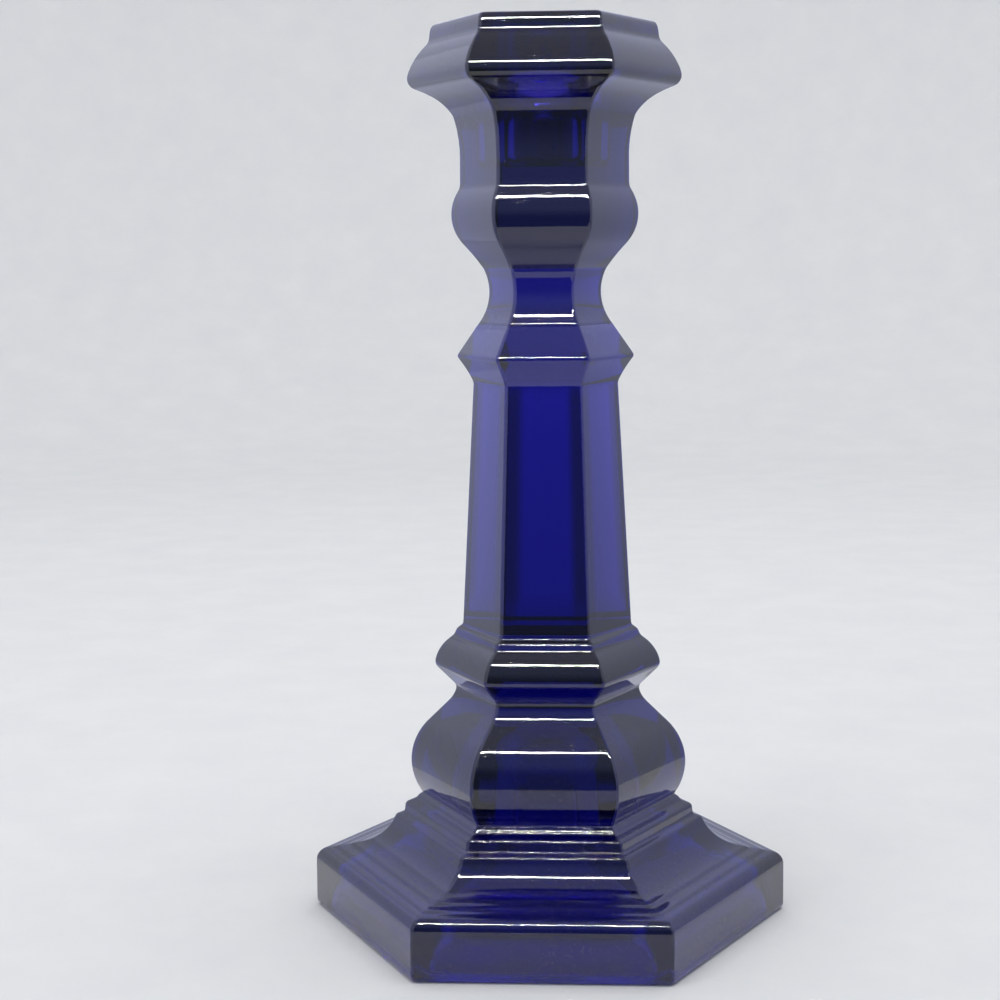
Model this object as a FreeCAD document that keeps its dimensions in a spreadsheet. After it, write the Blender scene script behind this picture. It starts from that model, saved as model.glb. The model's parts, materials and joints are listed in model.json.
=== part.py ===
"""Six-sided pressed-glass candlestick, after a nineteenth-century pattern.

The candlestick is three pieces of glass, joined hot while it was made:

    standard_and_foot   hollow spreading foot, knop, lower collar, tapered column and upper collar
    joining_wafer       short waisted neck of glass between the two pressings
    candle_socket       knop, cup and flared rim, with the bore for the candle

Frame: +Z is up, the origin is the centre of the foot at the surface it stands on. One flat of the hexagon
faces -Y and two of its corners lie on the X axis. Lengths are in millimetres and angles in degrees.

Every moulding is cut the way the mould was: one profile is cut along one flat, and the cut is repeated on
all six flats. A profile is a chain of steps. Each step names how far from the axis it ends, how far it
rises, and how far its curve turns. A turn bulges outwards, a turn with a minus sign hollows inwards, and a
step without a turn is straight.
"""

import FreeCAD, Part
import math
import os

import Sketcher

SIDES = 6
OVERCUT = 2.0          # how far a cut runs past the end of the glass it trims
BLANK_MARGIN = 1.0     # how far a cut reaches past the widest part of its blank

# Driving sizes. "half" is half the distance across flats, "rise" is a height, "turn" is an angle of curve.
SIZES = {
    # foot
    "foot_half": 53.7,
    "foot_corner_radius": 2.0,
    "foot_bottom_round": 1.5,
    "foot_band_rise": 11.2,
    "foot_top_round": 3.1,
    "shelf_width": 4.6,
    "shelf_rise": 0.4,
    "quarter_turn": 90.0,
    "cove_turn": 72.0,
    "cove_rise": 8.8,
    # ring under the lower knop
    "ledge_half": 35.1,
    "ledge_rise": 0.6,
    "ring_half": 33.1,
    "ring_rise": 2.6,
    "ring_draft": 0.3,
    "ring_slope_rise": 2.1,
    # lower knop and its neck
    "knop_base_half": 28.7,
    "knop_shoulder_half": 24.2,
    "knop_rise": 23.7,
    "knop_turn": 84.0,
    "knop_neck_half": 20.8,
    "knop_neck_rise": 5.9,
    "knop_neck_turn": 45.0,
    # lower collar
    "low_collar_half": 25.5,
    "low_collar_under_rise": 5.4,
    "low_collar_edge_rise": 1.6,
    "low_collar_edge_turn": 50.0,
    "low_collar_roll_rise": 7.0,
    "low_collar_roll_turn": 38.0,
    "bead_half": 20.9,
    "bead_draft": 0.3,
    "bead_rise": 1.2,
    # column
    "column_foot_half": 19.1,
    "column_foot_rise": 1.2,
    "column_top_half": 16.15,
    "column_rise": 62.8,
    # upper collar
    "high_collar_half": 19.7,
    "high_collar_under_rise": 6.5,
    "high_collar_under_turn": 14.0,
    "high_collar_edge_rise": 0.6,
    "high_collar_cone_rise": 7.7,
    # neck of the joining wafer
    "wafer_low_half": 15.0,
    "wafer_high_half": 13.7,
    "wafer_rise": 14.1,
    "wafer_turn": 58.0,
    # knop and cup of the socket
    "cup_knop_rise": 22.3,
    "cup_knop_turn": 74.0,
    "cup_half": 18.8,
    "cup_wall_rise": 5.7,
    "cup_wall_draft": 0.2,
    "cup_spread_half": 20.0,
    "cup_spread_rise": 10.0,
    "cup_spread_turn": 15.0,
    # flared rim
    "rim_half": 29.95,
    "rim_corner_radius": 1.2,
    "rim_under_half": 28.2,
    "rim_under_rise": 6.3,
    "rim_under_turn": 50.0,
    "rim_edge_rise": 2.9,
    "rim_edge_turn": 64.0,
    "rim_roll_rise": 8.6,
    "rim_roll_turn": 38.0,
    "lip_half": 25.2,
    "lip_draft": 0.4,
    "lip_rise": 3.6,
    "lip_round": 1.2,
    # candle bore, from the lip down
    "bore_radius": 11.4,
    "bore_depth": 36.0,
    "bore_bottom_round": 3.0,
    "bore_mouth_flare": 3.1,
    "bore_mouth_depth": 6.0,
    "lip_land": 3.1,
    "dish_depth": 1.8,
    # hollow under the foot, from the standing surface up
    "foot_wall": 8.6,
    "hollow_draft": 1.2,
    "hollow_band_rise": 8.0,
    "hollow_slope_half": 27.0,
    "hollow_slope_rise": 9.5,
    "hollow_knop_half": 15.5,
    "hollow_knop_rise": 12.5,
    "hollow_crown_half": 11.4,
    "hollow_crown_rise": 10.0,
    "hollow_top_half": 5.5,
    "hollow_top_rise": 4.5,
}


class Step:
    """One stretch of a moulding's profile, from the end of the stretch below it."""

    def __init__(self, name, half, rise, turn=""):
        self.name = name
        self.half = half
        self.rise = rise
        self.turn = turn.lstrip("-")
        self.hollows = turn.startswith("-")


STANDARD_START = "foot_half - foot_bottom_round"
STANDARD_STEPS = [
    Step("bottom_round", "foot_half", "foot_bottom_round", "quarter_turn"),
    Step("band", "foot_half - 0.01", "foot_band_rise"),
    Step("top_round", "foot_half - foot_top_round", "foot_top_round", "quarter_turn"),
    Step("shelf", "foot_half - foot_top_round - shelf_width", "shelf_rise"),
    Step("cove", "ledge_half", "cove_rise", "-cove_turn"),
    Step("ledge", "ring_half", "ledge_rise"),
    Step("ring", "ring_half - ring_draft", "ring_rise"),
    Step("ring_slope", "knop_base_half", "ring_slope_rise"),
    Step("knop", "knop_shoulder_half", "knop_rise", "knop_turn"),
    Step("knop_neck", "knop_neck_half", "knop_neck_rise", "-knop_neck_turn"),
    Step("low_collar_under", "low_collar_half - 0.1", "low_collar_under_rise"),
    Step("low_collar_edge", "low_collar_half", "low_collar_edge_rise", "low_collar_edge_turn"),
    Step("low_collar_roll", "bead_half", "low_collar_roll_rise", "low_collar_roll_turn"),
    Step("bead", "bead_half - bead_draft", "bead_rise"),
    Step("column_foot", "column_foot_half", "column_foot_rise"),
    Step("column", "column_top_half", "column_rise"),
    Step("high_collar_under", "high_collar_half", "high_collar_under_rise", "-high_collar_under_turn"),
    Step("high_collar_edge", "high_collar_half - 0.1", "high_collar_edge_rise"),
    Step("high_collar_cone", "wafer_low_half", "high_collar_cone_rise"),
]

WAFER_START = "wafer_low_half"
WAFER_STEPS = [
    Step("neck", "wafer_high_half", "wafer_rise", "-wafer_turn"),
]

SOCKET_START = "wafer_high_half"
SOCKET_STEPS = [
    Step("cup_knop", "cup_half", "cup_knop_rise", "cup_knop_turn"),
    Step("cup_wall", "cup_half - cup_wall_draft", "cup_wall_rise"),
    Step("cup_spread", "cup_spread_half", "cup_spread_rise", "-cup_spread_turn"),
    Step("rim_under", "rim_under_half", "rim_under_rise", "-rim_under_turn"),
    Step("rim_edge", "rim_half", "rim_edge_rise", "rim_edge_turn"),
    Step("rim_roll", "lip_half", "rim_roll_rise", "rim_roll_turn"),
    Step("lip", "lip_half - lip_draft", "lip_rise"),
    Step("lip_top", "lip_half - lip_draft - lip_round", "lip_round", "quarter_turn"),
]

def sheet_formula(formula):
    """Turn a sum of size names into the same sum of the sheet's cells."""
    return " ".join("Sizes." + word if word in SIZES else word for word in formula.split())


def amount(formula):
    """Work out a sum of size names, for a sketch's first guess before its constraints hold it."""
    total = 0.0
    sign = 1.0
    for word in formula.split():
        if word == "+":
            sign = 1.0
        elif word == "-":
            sign = -1.0
        else:
            total += sign * (SIZES[word] if word in SIZES else float(word))
    return total


def rise_of(steps):
    """The formula for the whole height of a profile."""
    return " + ".join(step.rise for step in steps)


def make_sheet(doc):
    """Put the driving sizes in a spreadsheet, one alias for each."""
    sheet = doc.addObject("Spreadsheet::Sheet", "Sizes")
    for row, (name, value) in enumerate(SIZES.items(), start=1):
        sheet.set(f"A{row}", name)
        sheet.set(f"B{row}", str(value))
        sheet.setAlias(f"B{row}", name)
    doc.recompute()


def origin_feature(body, role):
    """The body's own origin plane or axis with this role."""
    return next(feature for feature in body.Origin.OriginFeatures if feature.Role == role)


def new_sketch(body, name, plane):
    """A sketch on one of the body's origin planes."""
    sketch = body.newObject("Sketcher::SketchObject", name)
    sketch.AttachmentSupport = [(origin_feature(body, plane), "")]
    sketch.MapMode = "FlatFace"
    return sketch


def segment(sketch, start, end):
    """Add a straight line to a sketch and give its number."""
    return sketch.addGeometry(Part.LineSegment(FreeCAD.Vector(*start, 0), FreeCAD.Vector(*end, 0)))


def hold(sketch, name, formula, kind, *where):
    """Add a dimension to a sketch and bind it to the sheet."""
    value = amount(formula)
    if kind == "Angle":
        value = math.radians(value)
    index = sketch.addConstraint(Sketcher.Constraint(kind, *where, value))
    sketch.renameConstraint(index, name)
    sketch.setExpression("Constraints." + name, sheet_formula(formula))


def arc_between(low, high, turn, hollows):
    """An arc from one point up to the next that turns by this angle, and which of its ends is the low one."""
    chord = high - low
    radius = chord.Length / (2 * math.sin(turn / 2))
    outward = FreeCAD.Vector(chord.y, -chord.x, 0).normalize()
    side = 1 if hollows else -1
    centre = (low + high) / 2 + outward * (side * radius * math.cos(turn / 2))
    first, last = (high, low) if hollows else (low, high)
    angles = [math.atan2(point.y - centre.y, point.x - centre.x) for point in (first, last)]
    circle = Part.Circle(centre, FreeCAD.Vector(0, 0, 1), radius)
    return Part.ArcOfCircle(circle, angles[0], angles[1]), (2 if hollows else 1)


def profile_sketch(body, name, start, steps, reach):
    """Draw what the mould takes off one flat: everything between the profile and a line at its reach."""
    sketch = new_sketch(body, name, "YZ_Plane")
    half = amount(start)
    height = 0.0
    below = segment(sketch, (half, -OVERCUT), (half, 0))
    sketch.addConstraint(Sketcher.Constraint("Vertical", below))
    hold(sketch, "start_half", start, "DistanceX", -1, 1, below, 2)
    sketch.addConstraint(Sketcher.Constraint("PointOnObject", below, 2, -1))
    sketch.addConstraint(Sketcher.Constraint("DistanceY", below, 1, below, 2, OVERCUT))
    end = (below, 2)
    for step in steps:
        low = FreeCAD.Vector(half, height, 0)
        half = amount(step.half)
        height += amount(step.rise)
        high = FreeCAD.Vector(half, height, 0)
        if step.turn:
            curve, low_end = arc_between(low, high, math.radians(amount(step.turn)), step.hollows)
        else:
            curve, low_end = Part.LineSegment(low, high), 1
        edge = sketch.addGeometry(curve)
        high_end = 3 - low_end
        sketch.addConstraint(Sketcher.Constraint("Coincident", *end, edge, low_end))
        hold(sketch, step.name + "_half", step.half, "DistanceX", -1, 1, edge, high_end)
        hold(sketch, step.name + "_rise", step.rise, "DistanceY", edge, low_end, edge, high_end)
        if step.turn:
            hold(sketch, step.name + "_turn", step.turn, "Angle", edge)
        end = (edge, high_end)
    top = height + OVERCUT
    far = amount(reach) + BLANK_MARGIN
    corners = [(half, height), (half, top), (far, top), (far, -OVERCUT), (amount(start), -OVERCUT)]
    closing = [segment(sketch, *ends) for ends in zip(corners, corners[1:])]
    for edge, direction in zip(closing, ("Vertical", "Horizontal", "Vertical", "Horizontal")):
        sketch.addConstraint(Sketcher.Constraint(direction, edge))
        sketch.addConstraint(Sketcher.Constraint("Coincident", *end, edge, 1))
        end = (edge, 2)
    sketch.addConstraint(Sketcher.Constraint("Coincident", *end, below, 1))
    sketch.addConstraint(Sketcher.Constraint("DistanceY", closing[0], 1, closing[0], 2, OVERCUT))
    hold(sketch, "reach", f"{reach} + {BLANK_MARGIN}", "DistanceX", -1, 1, closing[2], 1)
    return sketch


def hexagon_sketch(body, name, half, height="0"):
    """A hexagon with flats facing +Y and -Y, at a height over the body's base."""
    sketch = new_sketch(body, name, "XY_Plane")
    radius = amount(half) / math.cos(math.pi / SIDES)
    angles = [2 * math.pi * side / SIDES for side in range(SIDES)]
    corners = [(radius * math.cos(angle), radius * math.sin(angle)) for angle in angles]
    sides = [segment(sketch, *ends) for ends in zip(corners, corners[1:] + corners[:1])]
    upward = FreeCAD.Vector(0, 0, 1)
    ring = sketch.addGeometry(Part.Circle(FreeCAD.Vector(0, 0, 0), upward, radius), True)
    sketch.addConstraint(Sketcher.Constraint("Coincident", ring, 3, -1, 1))
    for side, following in zip(sides, sides[1:] + sides[:1]):
        sketch.addConstraint(Sketcher.Constraint("Coincident", side, 2, following, 1))
        sketch.addConstraint(Sketcher.Constraint("PointOnObject", side, 1, ring))
    for side in sides[1:]:
        sketch.addConstraint(Sketcher.Constraint("Equal", sides[0], side))
    far_side = sides[1]
    sketch.addConstraint(Sketcher.Constraint("Horizontal", far_side))
    hold(sketch, "half", half, "DistanceY", -1, 1, far_side, 1)
    sketch.setExpression(".AttachmentOffset.Base.z", sheet_formula(height))
    return sketch


def hexagon_blank(doc, body, half, height, corner_radius=None):
    """A six-sided block, with its upright corners rounded if a radius is given."""
    pad = body.newObject("PartDesign::Pad", body.Name + "_Blank")
    pad.Profile = hexagon_sketch(body, body.Name + "_Plan", half)
    pad.setExpression("Length", sheet_formula(height))
    doc.recompute()
    if corner_radius is None:
        return
    upright = [
        f"Edge{number}"
        for number, edge in enumerate(pad.Shape.Edges, start=1)
        if abs(edge.tangentAt(edge.FirstParameter).z) > 0.99
    ]
    rounding = body.newObject("PartDesign::Fillet", body.Name + "_Corners")
    rounding.Base = (pad, upright)
    rounding.setExpression("Radius", sheet_formula(corner_radius))
    doc.recompute()


def mould_flats(doc, body, start, steps, reach):
    """Cut the profile along one flat and repeat the cut round the axis."""
    before = body.Shape.Volume
    cut = body.newObject("PartDesign::Pocket", body.Name + "_Flat")
    cut.Profile = profile_sketch(body, body.Name + "_Profile", start, steps, reach)
    cut.Type = "ThroughAll"
    cut.SideType = "Symmetric"
    doc.recompute()
    one_flat = cut.Shape.Volume
    pattern = body.newObject("PartDesign::PolarPattern", body.Name + "_Flats")
    pattern.Originals = [cut]
    pattern.Axis = (origin_feature(body, "Z_Axis"), [""])
    pattern.Angle = 360
    pattern.Occurrences = SIDES
    body.Tip = pattern
    doc.recompute()
    if not before > one_flat > pattern.Shape.Volume > 0:
        raise RuntimeError(f"{body.Label}: the moulding cut took nothing away")


def cut_bore(doc, body):
    """Turn out the candle bore, its flared mouth and the shallow dish inside the lip."""
    lip_level = rise_of(SOCKET_STEPS)
    mouth_radius = "bore_radius + bore_mouth_flare"
    dish_radius = "lip_half - lip_draft - lip_round - lip_land"
    top = amount(lip_level)
    floor = top - amount("bore_depth")
    mouth = top - amount("bore_mouth_depth")
    rim = top - amount("dish_depth")
    bore = amount("bore_radius")
    corner = amount("bore_bottom_round")
    flare = amount(mouth_radius)
    dish = amount(dish_radius)

    sketch = new_sketch(body, body.Name + "_Bore_Profile", "XZ_Plane")
    corner_centre = FreeCAD.Vector(bore - corner, floor + corner, 0)
    corner_circle = Part.Circle(corner_centre, FreeCAD.Vector(0, 0, 1), corner)
    floor_line = segment(sketch, (0, floor), (bore - corner, floor))
    corner_arc = sketch.addGeometry(Part.ArcOfCircle(corner_circle, -math.pi / 2, 0))
    wall_line = segment(sketch, (bore, floor + corner), (bore, mouth))
    mouth_line = segment(sketch, (bore, mouth), (flare, rim))
    dish_line = segment(sketch, (flare, rim), (dish, top))
    over_line = segment(sketch, (dish, top), (dish, top + OVERCUT))
    lid_line = segment(sketch, (dish, top + OVERCUT), (0, top + OVERCUT))
    axis_line = segment(sketch, (0, top + OVERCUT), (0, floor))

    outline = [floor_line, corner_arc, wall_line, mouth_line, dish_line, over_line, lid_line, axis_line]
    for edge, following in zip(outline, outline[1:] + outline[:1]):
        sketch.addConstraint(Sketcher.Constraint("Coincident", edge, 2, following, 1))
    for edge in (floor_line, lid_line):
        sketch.addConstraint(Sketcher.Constraint("Horizontal", edge))
    for edge in (wall_line, over_line):
        sketch.addConstraint(Sketcher.Constraint("Vertical", edge))
    sketch.addConstraint(Sketcher.Constraint("PointOnObject", floor_line, 1, -2))
    sketch.addConstraint(Sketcher.Constraint("PointOnObject", lid_line, 2, -2))
    sketch.addConstraint(Sketcher.Constraint("Vertical", corner_arc, 3, corner_arc, 1))
    sketch.addConstraint(Sketcher.Constraint("Horizontal", corner_arc, 3, corner_arc, 2))
    sketch.addConstraint(Sketcher.Constraint("DistanceY", over_line, 1, over_line, 2, OVERCUT))
    hold(sketch, "floor_round", "bore_bottom_round", "Radius", corner_arc)
    hold(sketch, "bore_wall", "bore_radius", "DistanceX", -1, 1, wall_line, 1)
    hold(sketch, "mouth_edge", mouth_radius, "DistanceX", -1, 1, mouth_line, 2)
    hold(sketch, "dish_edge", dish_radius, "DistanceX", -1, 1, dish_line, 2)
    hold(sketch, "lip_level", lip_level, "DistanceY", -1, 1, dish_line, 2)
    hold(sketch, "depth", "bore_depth", "DistanceY", floor_line, 2, dish_line, 2)
    hold(sketch, "mouth_sink", "bore_mouth_depth", "DistanceY", wall_line, 2, dish_line, 2)
    hold(sketch, "dish_sink", "dish_depth", "DistanceY", mouth_line, 2, dish_line, 2)

    before = body.Shape.Volume
    groove = body.newObject("PartDesign::Groove", body.Name + "_Bore")
    groove.Profile = sketch
    groove.ReferenceAxis = (sketch, ["V_Axis"])
    groove.Angle = 360
    body.Tip = groove
    doc.recompute()
    if not before > groove.Shape.Volume > 0:
        raise RuntimeError(f"{body.Label}: the bore took nothing away")


def cut_hollow(doc, body):
    """Cut the six-sided hollow that the plunger left under the foot."""
    levels = [
        ("Mouth", "foot_half - foot_wall", "0"),
        ("Band", "foot_half - foot_wall - hollow_draft", "hollow_band_rise"),
        ("Slope", "hollow_slope_half", "hollow_slope_rise"),
        ("Knop", "hollow_knop_half", "hollow_knop_rise"),
        ("Crown", "hollow_crown_half", "hollow_crown_rise"),
        ("Top", "hollow_top_half", "hollow_top_rise"),
    ]
    sections = []
    height = ""
    for name, half, rise in levels:
        height = f"{height} + {rise}" if height else rise
        sections.append(hexagon_sketch(body, f"{body.Name}_Hollow_{name}", half, height))
    doc.recompute()
    before = body.Shape.Volume
    hollow = body.newObject("PartDesign::SubtractiveLoft", body.Name + "_Hollow")
    hollow.Profile = sections[0]
    hollow.Sections = sections[1:]
    hollow.Ruled = True
    body.Tip = hollow
    doc.recompute()
    if not before > hollow.Shape.Volume > 0:
        raise RuntimeError(f"{body.Label}: the hollow took nothing away")


def new_piece(doc, name, label, seat="0"):
    """A body that stands at a height over the floor."""
    body = doc.addObject("PartDesign::Body", name)
    body.Label = label
    body.setExpression(".Placement.Base.z", sheet_formula(seat))
    return body


def make_standard(doc):
    """The lower pressing: hollow foot, ring, knop, lower collar, column and upper collar."""
    body = new_piece(doc, "Standard", "standard_and_foot")
    hexagon_blank(doc, body, "foot_half", rise_of(STANDARD_STEPS), "foot_corner_radius")
    mould_flats(doc, body, STANDARD_START, STANDARD_STEPS, "foot_half")
    cut_hollow(doc, body)
    return body


def make_wafer(doc):
    """The waisted neck of glass that joins the two pressings."""
    body = new_piece(doc, "Wafer", "joining_wafer", rise_of(STANDARD_STEPS))
    hexagon_blank(doc, body, "wafer_low_half + wafer_high_half", rise_of(WAFER_STEPS))
    mould_flats(doc, body, WAFER_START, WAFER_STEPS, "wafer_low_half + wafer_high_half")
    return body


def make_socket(doc):
    """The upper pressing: knop, cup, flared rim and candle bore."""
    body = new_piece(doc, "Socket", "candle_socket", rise_of(STANDARD_STEPS + WAFER_STEPS))
    hexagon_blank(doc, body, "rim_half", rise_of(SOCKET_STEPS), "rim_corner_radius")
    mould_flats(doc, body, SOCKET_START, SOCKET_STEPS, "rim_half")
    cut_bore(doc, body)
    return body


def check(doc, pieces):
    """Stop if any object failed to compute, or any piece isn't one sound solid."""
    for item in doc.Objects:
        if {"Invalid", "Error"} & set(item.State):
            raise RuntimeError(f"{item.Label} did not compute: {item.State}")
    for piece in pieces:
        shape = piece.Shape
        if shape.isNull() or not shape.isValid() or len(shape.Solids) != 1:
            raise RuntimeError(f"{piece.Label} is not one valid solid")


def main():
    """Build the three pieces and write one file for each."""
    os.makedirs("parts", exist_ok=True)
    doc = FreeCAD.newDocument("Candlestick")
    make_sheet(doc)
    pieces = [make_standard(doc), make_wafer(doc), make_socket(doc)]
    doc.recompute()
    check(doc, pieces)
    for piece in pieces:
        box = piece.Shape.BoundBox
        print(f"{piece.Label}: {piece.Shape.Volume / 1000:.1f} cm3, z {box.ZMin:.2f} to {box.ZMax:.2f} mm")
        piece.Shape.exportStep(f"parts/{piece.Label}.step")


main()
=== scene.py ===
"""Looks for a six-sided pressed-glass candlestick in deep cobalt blue.

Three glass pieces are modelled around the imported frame: the hollow foot with its column, the waisted joining
wafer and the candle socket. Each is drawn as one moulding outline that is raised ring by ring round a
hexagon, softened the way fire-polished glass is, and dressed in a tinted glass that soaks up light with
depth. The set is a small white light tent with a dark open front and a row of lamps over the opening.

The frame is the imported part's own: metres, +Z up, a flat of the hexagon facing -Y. Sizes inside the classes
are in millimetres, as a mould maker writes them, and are turned into metres as the rings are placed.
"""

import json
import logging
import math
from dataclasses import dataclass, field
from enum import Enum

import bpy
import mathutils
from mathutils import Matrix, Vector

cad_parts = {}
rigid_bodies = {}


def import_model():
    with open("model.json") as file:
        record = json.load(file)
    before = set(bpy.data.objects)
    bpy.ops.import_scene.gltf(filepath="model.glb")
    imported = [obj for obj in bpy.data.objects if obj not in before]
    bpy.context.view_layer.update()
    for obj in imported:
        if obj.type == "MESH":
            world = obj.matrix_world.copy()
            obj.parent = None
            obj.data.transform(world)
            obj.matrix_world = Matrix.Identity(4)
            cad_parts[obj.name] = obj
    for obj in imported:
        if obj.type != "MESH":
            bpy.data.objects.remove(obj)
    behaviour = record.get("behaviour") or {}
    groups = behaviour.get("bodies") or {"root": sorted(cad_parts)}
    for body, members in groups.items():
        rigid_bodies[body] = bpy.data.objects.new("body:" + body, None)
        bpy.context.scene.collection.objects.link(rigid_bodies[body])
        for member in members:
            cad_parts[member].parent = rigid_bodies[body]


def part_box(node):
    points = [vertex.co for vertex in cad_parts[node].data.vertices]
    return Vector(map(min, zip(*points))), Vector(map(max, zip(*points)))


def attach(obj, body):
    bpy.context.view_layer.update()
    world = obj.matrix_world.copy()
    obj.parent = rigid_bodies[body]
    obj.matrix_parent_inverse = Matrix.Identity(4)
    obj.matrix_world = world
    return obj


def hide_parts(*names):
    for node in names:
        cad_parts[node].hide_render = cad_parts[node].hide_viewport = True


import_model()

MM = 0.001
SIDES = 6
CORNER_STRETCH = 1 / math.cos(math.pi / SIDES)      # a hexagon's corner distance over its half width
BODY = "root"
FUSED_OVERLAP = 0.02                                # mm that a piece runs into the next at a fused joint
DOUBLES = 0.004                                     # mm within which two vertices are taken as one
FAR = 1000.0                                        # mm, beyond anything on the candlestick
TINY = 1e-6

Point = tuple[float, float]                         # half width and height, in mm
Triple = tuple[float, float, float]
Colour = tuple[float, float, float, float]
Socket = bpy.types.NodeSocket

log = logging.getLogger("candlestick")


class Curve(Enum):
    """How one stretch of a moulding runs between its two ends."""

    STRAIGHT = 0
    BULGE = 1
    HOLLOW = -1


@dataclass(frozen=True)
class Stretch:
    """One stretch of a moulding, from the end of the one before it.

    Args:
        half: half the distance across flats where the stretch ends, in mm.
        level: the height where it ends, in mm.
        curve: whether it is straight, bulges out of the glass or is hollowed into it.
        turn: how far a curved stretch turns, in degrees.
    """

    half: float
    level: float
    curve: Curve = Curve.STRAIGHT
    turn: float = 0.0


@dataclass
class Outline:
    """A moulding's outline, walked with the glass on the left hand.

    Args:
        start: the first point, as half width and height in mm.
        stretches: what follows it.
        first_cap: half widths of flat rings that lead up to the start, at its height.
        last_cap: half widths of flat rings that follow the end, at its height.
        polish: how far fire polishing has rounded every arris, in mm.
        walk: the step in which the outline is walked, in mm.
        degrees_per_ring: how far the outline may turn between two rings.
        closest: the least distance between rings, in mm.
        widest: the greatest, in mm.
        growth: how fast that distance may grow along the outline.
    """

    start: Point
    stretches: list[Stretch]
    first_cap: tuple[float, ...] = ()
    last_cap: tuple[float, ...] = ()
    polish: float = 0.42
    walk: float = 0.2
    degrees_per_ring: float = 4.0
    closest: float = 0.25
    widest: float = 2.6
    growth: float = 0.3

    def traced(self) -> list[mathutils.Vector]:
        """Walk the outline in even short steps.

        Returns:
            Points with half width as x and height as y.
        """
        points = [mathutils.Vector(self.start)]
        for stretch in self.stretches:
            end = mathutils.Vector((stretch.half, stretch.level))
            points.extend(self.curve_points(points[-1], end, stretch))
        return self.even(points)

    def curve_points(
        self, begin: mathutils.Vector, end: mathutils.Vector, stretch: Stretch
    ) -> list[mathutils.Vector]:
        """Points along one stretch, without its first.

        Args:
            begin: where it starts.
            end: where it ends.
            stretch: its curve and turn.

        Returns:
            The points, ending at end.
        """
        chord = end - begin
        if stretch.curve is Curve.STRAIGHT:
            return [end]
        turn = math.radians(stretch.turn) * stretch.curve.value
        radius = chord.length / (2 * math.sin(abs(turn) / 2))
        steps = max(6, int(radius * abs(turn) / self.walk))
        heading = math.atan2(chord.y, chord.x) - turn / 2
        stride = 2 * radius * math.sin(abs(turn) / (2 * steps))
        points = []
        here = begin.copy()
        for step in range(steps):
            direction = heading + turn * (step + 0.5) / steps
            here = here + stride * mathutils.Vector((math.cos(direction), math.sin(direction)))
            points.append(here)
        return points

    def even(self, points: list[mathutils.Vector]) -> list[mathutils.Vector]:
        """Place points along a polyline at an even distance.

        Args:
            points: the polyline.

        Returns:
            The new points, with both ends kept.
        """
        spaced = [points[0]]
        for begin, end in zip(points, points[1:]):
            count = max(1, round((end - begin).length / self.walk))
            spaced.extend(begin.lerp(end, step / count) for step in range(1, count + 1))
        return spaced

    def polished(self) -> list[mathutils.Vector]:
        """Round every arris by averaging each point with its neighbours.

        Returns:
            The softened walk along the outline.
        """
        points = self.traced()
        for _ in range(round(2 * (self.polish / self.walk) ** 2)):
            middle = [
                (before + 2 * here + after) / 4
                for before, here, after in zip(points, points[1:], points[2:])
            ]
            points = [points[0], *middle, points[-1]]
        return points

    def gaps(self, points: list[mathutils.Vector]) -> list[float]:
        """Say how far apart rings may be at each point: close on curves, further on flats, changing slowly.

        Args:
            points: the polished outline.

        Returns:
            The distance at each point, in mm.
        """
        gaps = [self.widest] * len(points)
        for index in range(1, len(points) - 1):
            before = points[index] - points[index - 1]
            after = points[index + 1] - points[index]
            if before.length < TINY or after.length < TINY:
                continue
            bend = math.degrees(before.angle(after)) / self.walk
            gaps[index] = min(self.widest, max(self.closest, self.degrees_per_ring / max(bend, TINY)))
        change = self.growth * self.walk
        for index in range(1, len(gaps)):
            gaps[index] = min(gaps[index], gaps[index - 1] + change)
        for index in range(len(gaps) - 2, -1, -1):
            gaps[index] = min(gaps[index], gaps[index + 1] + change)
        return gaps

    def rings(self) -> list[Point]:
        """Choose where the mesh has its rings.

        Returns:
            Half width and height of each ring, in mm.
        """
        points = self.polished()
        gaps = self.gaps(points)
        shares = [0.0]
        for index in range(1, len(points)):
            span = (points[index] - points[index - 1]).length
            shares.append(shares[-1] + 2 * span / (gaps[index] + gaps[index - 1]))
        count = max(2, round(shares[-1]))
        chosen = []
        index = 1
        for ring in range(count + 1):
            wanted = shares[-1] * ring / count
            while index < len(points) - 1 and shares[index] < wanted:
                index += 1
            within = (wanted - shares[index - 1]) / max(shares[index] - shares[index - 1], 1e-9)
            chosen.append(points[index - 1].lerp(points[index], min(1.0, within)))
        rings = [(point.x, point.y) for point in chosen]
        below = [(half, rings[0][1]) for half in self.first_cap]
        above = [(half, rings[-1][1]) for half in self.last_cap]
        return [*below, *rings, *above]


@dataclass(frozen=True)
class Band:
    """A region of an outline, in mm.

    Args:
        lowest: its lowest height.
        highest: its highest.
        inside: its least half width.
        outside: its greatest.
    """

    lowest: float = -0.1
    highest: float = FAR
    inside: float = 0.0
    outside: float = FAR

    def holds(self, point: mathutils.Vector) -> bool:
        """Say whether a mesh vertex on a corner lies in the band.

        Args:
            point: the vertex, in metres.

        Returns:
            Whether it does.
        """
        half = point.xy.length / CORNER_STRETCH / MM
        level = point.z / MM
        return self.lowest <= level <= self.highest and self.inside <= half <= self.outside


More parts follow.
